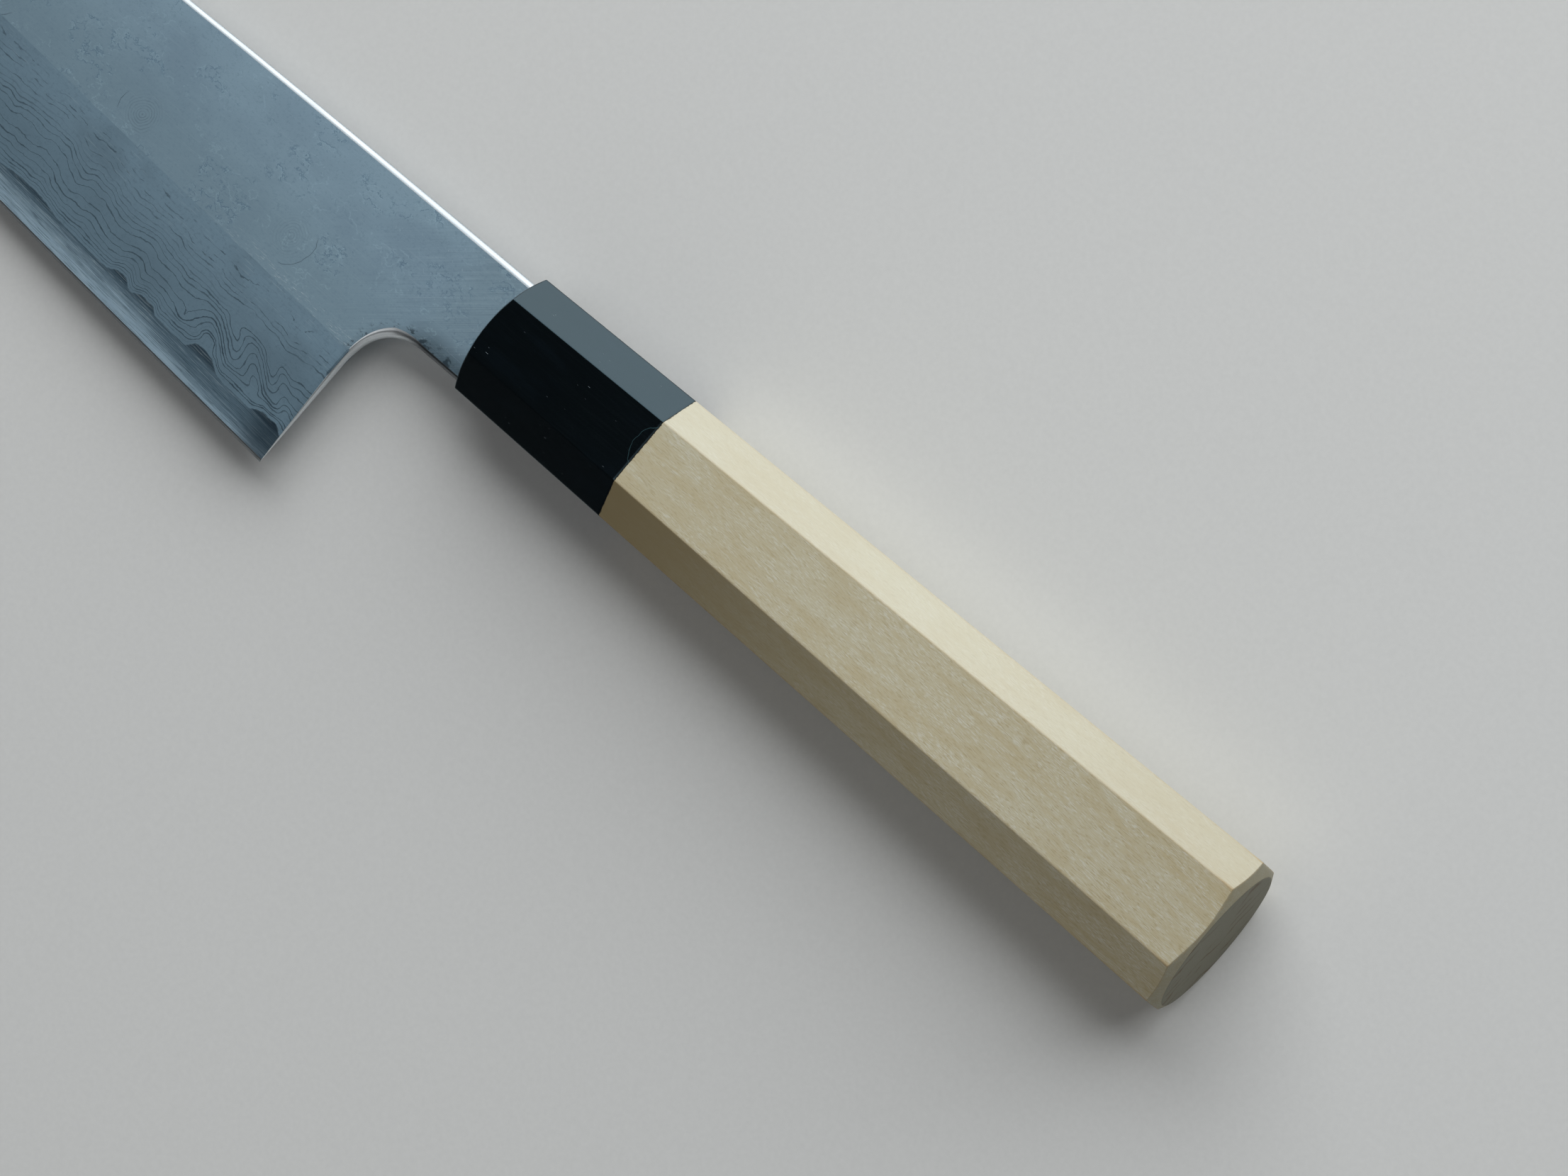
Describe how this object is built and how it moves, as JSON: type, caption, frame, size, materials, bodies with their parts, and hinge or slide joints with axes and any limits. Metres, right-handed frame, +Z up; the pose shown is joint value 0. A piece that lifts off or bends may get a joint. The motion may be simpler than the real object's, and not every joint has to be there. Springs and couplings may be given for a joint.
{
  "type": "chef knife",
  "caption": "Chef knife with a laminated steel blade, rounded spine and choil, a polished black horn ferrule and a tapered octagonal wooden handle on a hidden tang.",
  "frame": {"origin": "middle of the knife's underside when it lies on its right side: centre of the bounding box in X and Y, lowest point in Z", "axes": "+X along the handle's axis towards the butt, so the tip points to -X; +Y from the cutting edge towards the spine; +Z up, out of the blade's left face"},
  "size_m": [0.367, 0.0506, 0.021],
  "materials": {
    "edge_steel": "hard core steel, brushed along the edge, with a fine bright edge bevel",
    "clad_steel": "etched layered cladding, satin upper flat and darker wide bevel, polished spine and choil",
    "horn": "polished black buffalo horn",
    "handle_wood": "bare pale magnolia with fine pores along the handle",
    "dowel_wood": "turned hardwood dowel",
    "seal_resin": "dark cured resin"
  },
  "bodies": {
    "root": {"core_steel": "edge_steel", "left_cladding": "clad_steel", "right_cladding": "clad_steel", "ferrule": "horn", "handle_body": "handle_wood", "ferrule_dowel": "dowel_wood", "tang_seal": "seal_resin"}
  },
  "joints": []
}
